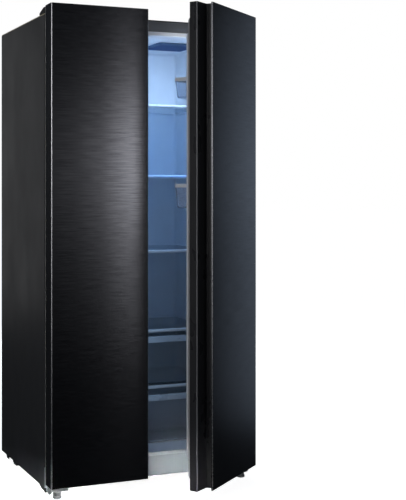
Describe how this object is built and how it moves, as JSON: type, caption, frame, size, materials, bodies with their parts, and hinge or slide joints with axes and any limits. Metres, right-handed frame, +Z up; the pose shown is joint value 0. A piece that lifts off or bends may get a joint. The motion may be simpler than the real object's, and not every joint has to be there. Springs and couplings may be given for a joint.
{
  "type": "side by side refrigerator",
  "caption": "Free-standing side by side refrigerator with full-height freezer and refrigerator doors, edge grips, glass shelves, drawers and door bins.",
  "frame": {"origin": "on the floor, under the middle of the footprint with the refrigerator door ajar as stored", "axes": "+Z up, -Y out of the doors, +X towards the refrigerator side (the right, seen from the front)"},
  "size_m": [0.8412, 0.904, 1.784],
  "materials": {
    "graphite_steel": "horizontally brushed, dark graphite coating",
    "side_paint": "satin dark grey paint",
    "galvanised_steel": "galvanised, matt",
    "foam": "foamed, matt",
    "white_liner": "semi-gloss",
    "pale_panel": "satin",
    "grip_plastic": "satin",
    "gasket_rubber": "matt",
    "clear_plastic": "clear, glossy",
    "shelf_glass": "tempered, with white trims",
    "black_plastic": "matt",
    "compressor_black": "semi-gloss black",
    "copper": "drawn copper tube",
    "aluminium": "mill finish",
    "zinc_steel": "zinc plated",
    "lamp_lens": "frosted"
  },
  "bodies": {
    "cabinet": {"air_duct_cover": "white_liner", "base_pan": "galvanised_steel", "bottom_hinge_left": "zinc_steel", "bottom_hinge_right": "zinc_steel", "cabinet_wrap": "side_paint", "compressor": "compressor_black", "compressor_cover": "galvanised_steel", "condenser_coil": "copper", "condenser_fan_motor": "galvanised_steel", "cord_inlet": "black_plastic", "crisper_cover_lower": "shelf_glass", "crisper_cover_upper": "shelf_glass", "drip_tray": "black_plastic", "evaporator_coil": "aluminium", "evaporator_cover": "white_liner", "freezer_foam": "foam", "freezer_liner": "white_liner", "freezer_shelf_lower": "shelf_glass", "freezer_shelf_upper": "shelf_glass", "fridge_foam": "foam", "fridge_lamp": "lamp_lens", "fridge_liner": "white_liner", "fridge_shelf_bottom": "shelf_glass", "fridge_shelf_middle": "shelf_glass", "fridge_shelf_top": "shelf_glass", "front_frame": "graphite_steel", "hinge_cover_left": "black_plastic", "hinge_cover_right": "black_plastic", "lower_front_panel": "pale_panel", "rear_panel": "galvanised_steel", "top_hinge_left": "zinc_steel", "top_hinge_right": "zinc_steel"},
    "freezer_door": {"freezer_bin_lower": "clear_plastic", "freezer_bin_upper": "clear_plastic", "freezer_door_cap_bottom": "black_plastic", "freezer_door_cap_top": "black_plastic", "freezer_door_foam": "foam", "freezer_door_gasket": "gasket_rubber", "freezer_door_grip": "grip_plastic", "freezer_door_liner": "white_liner", "freezer_door_skin": "graphite_steel"},
    "fridge_door": {"fridge_bin_lower": "clear_plastic", "fridge_bin_upper": "clear_plastic", "fridge_door_cap_bottom": "black_plastic", "fridge_door_cap_top": "black_plastic", "fridge_door_foam": "foam", "fridge_door_gasket": "gasket_rubber", "fridge_door_grip": "grip_plastic", "fridge_door_liner": "white_liner", "fridge_door_skin": "graphite_steel"},
    "crisper_drawer_upper": {"crisper_drawer_upper": "clear_plastic"},
    "crisper_drawer_lower": {"crisper_drawer_lower": "clear_plastic"},
    "freezer_drawer_upper": {"freezer_drawer_upper": "clear_plastic"},
    "freezer_drawer_lower": {"freezer_drawer_lower": "clear_plastic"},
    "condenser_fan": {"condenser_fan": "black_plastic"},
    "evaporator_fan": {"evaporator_fan": "black_plastic"},
    "levelling_foot_left": {"levelling_foot_left": "zinc_steel"},
    "rear_roller_left": {"rear_roller_left": "black_plastic"},
    "levelling_foot_right": {"levelling_foot_right": "zinc_steel"},
    "rear_roller_right": {"rear_roller_right": "black_plastic"}
  },
  "joints": [
    {"name": "freezer_door_hinge", "type": "hinge", "parent": "cabinet", "child": "freezer_door", "pos_m": [-0.39864, -0.185, 0], "axis": [0, 0, -1], "range_deg": [0, 115]},
    {"name": "fridge_door_hinge", "type": "hinge", "parent": "cabinet", "child": "fridge_door", "pos_m": [0.37736, -0.185, 0], "axis": [0, 0, 1], "range_deg": [-38.25, 76.75]},
    {"name": "crisper_upper_slide", "type": "slide", "parent": "cabinet", "child": "crisper_drawer_upper", "axis": [0, -1, 0], "range_m": [0, 0.105]},
    {"name": "crisper_lower_slide", "type": "slide", "parent": "cabinet", "child": "crisper_drawer_lower", "axis": [0, -1, 0], "range_m": [0, 0.105]},
    {"name": "freezer_drawer_upper_slide", "type": "slide", "parent": "cabinet", "child": "freezer_drawer_upper", "axis": [0, -1, 0], "range_m": [0, 0.1753]},
    {"name": "freezer_drawer_lower_slide", "type": "slide", "parent": "cabinet", "child": "freezer_drawer_lower", "axis": [0, -1, 0], "range_m": [0, 0.1753]},
    {"name": "condenser_fan_spin", "type": "hinge", "parent": "cabinet", "child": "condenser_fan", "pos_m": [-0.01064, 0.318, 0.14], "axis": [1, 0, 0], "continuous": true},
    {"name": "evaporator_fan_spin", "type": "hinge", "parent": "cabinet", "child": "evaporator_fan", "pos_m": [-0.21464, 0.3165, 1.23], "axis": [0, 1, 0], "continuous": true},
    {"name": "levelling_foot_left_screw", "type": "hinge", "parent": "cabinet", "child": "levelling_foot_left", "pos_m": [-0.38464, -0.183, 0], "axis": [0, 0, 1], "continuous": true},
    {"name": "rear_roller_left_spin", "type": "hinge", "parent": "cabinet", "child": "rear_roller_left", "pos_m": [-0.39064, 0.293, 0.0145], "axis": [1, 0, 0], "continuous": true},
    {"name": "levelling_foot_right_screw", "type": "hinge", "parent": "cabinet", "child": "levelling_foot_right", "pos_m": [0.36336, -0.183, 0], "axis": [0, 0, 1], "continuous": true},
    {"name": "rear_roller_right_spin", "type": "hinge", "parent": "cabinet", "child": "rear_roller_right", "pos_m": [0.36936, 0.293, 0.0145], "axis": [1, 0, 0], "continuous": true}
  ],
  "couplings": [
    {"joint": "freezer_drawer_upper_slide", "follows": "freezer_door_hinge", "m_per_rad": 0.08709},
    {"joint": "freezer_drawer_lower_slide", "follows": "freezer_door_hinge", "m_per_rad": 0.08709}
  ]
}
